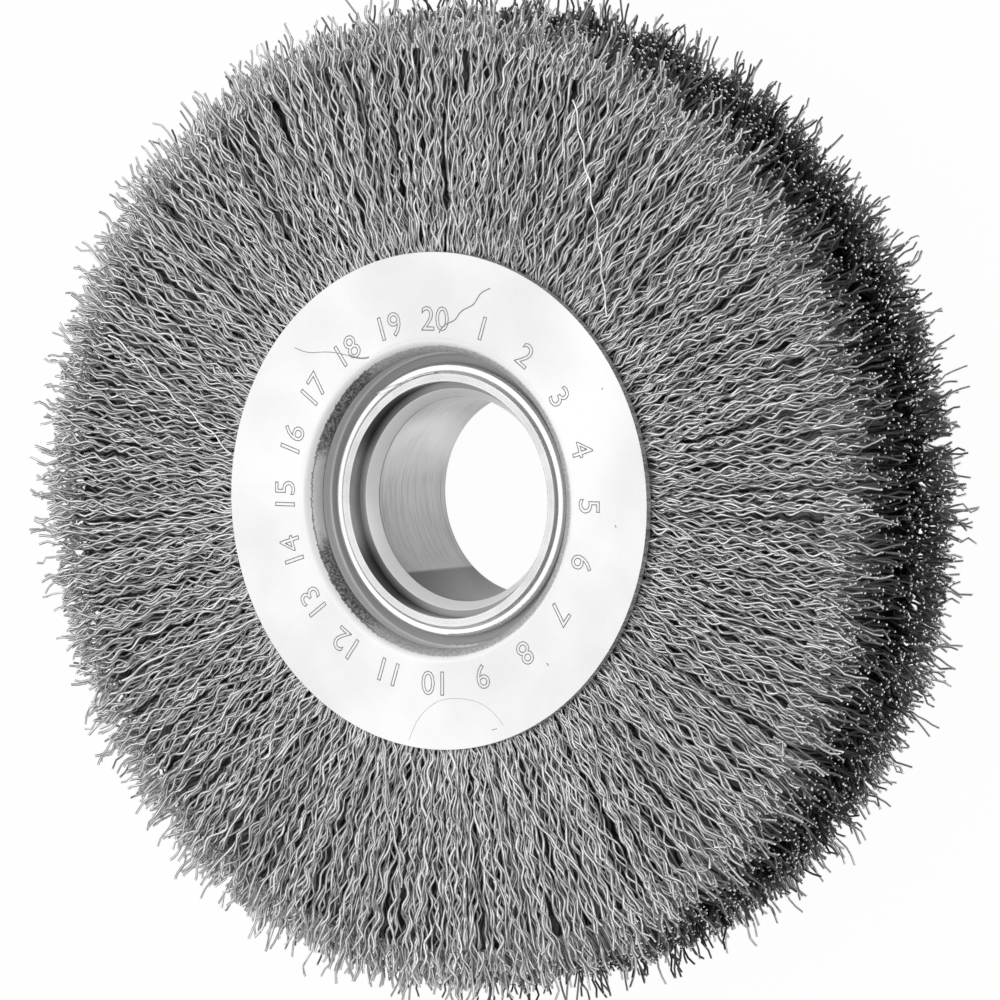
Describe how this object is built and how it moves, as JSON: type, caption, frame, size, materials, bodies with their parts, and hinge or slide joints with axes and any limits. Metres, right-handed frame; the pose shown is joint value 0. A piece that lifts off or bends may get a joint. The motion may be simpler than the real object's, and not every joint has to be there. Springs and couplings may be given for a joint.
{
  "type": "wire wheel brush",
  "caption": "Wide wheel brush of crimped steel wire, held between two dished face plates on a rolled hub with a plain bore.",
  "frame": {"origin": "middle of the bore, half way between the two face plates", "axes": "+Z along the spindle axis, out of the front face"},
  "size_m": [0.125, 0.125, 0.028],
  "materials": {
    "zinc_plated_plate": "zinc-plated pressed sheet steel, satin, with fine handling marks",
    "bright_sleeve": "zinc-plated steel tube, bright where it was rolled, frosty on the cut end",
    "turned_tube": "turned steel tube with fine streaks round the bore",
    "anchor_steel": "plain drawn steel ring",
    "crimped_wire": "hard-drawn crimped steel wire, bright on the crests and dark between the wires"
  },
  "bodies": {
    "root": {"front_face_plate": "zinc_plated_plate", "rear_face_plate": "zinc_plated_plate", "hub_sleeve": "bright_sleeve", "bore_tube": "turned_tube", "front_anchor_ring": "anchor_steel", "rear_anchor_ring": "anchor_steel", "front_wire_section": "crimped_wire", "rear_wire_section": "crimped_wire"}
  },
  "joints": []
}
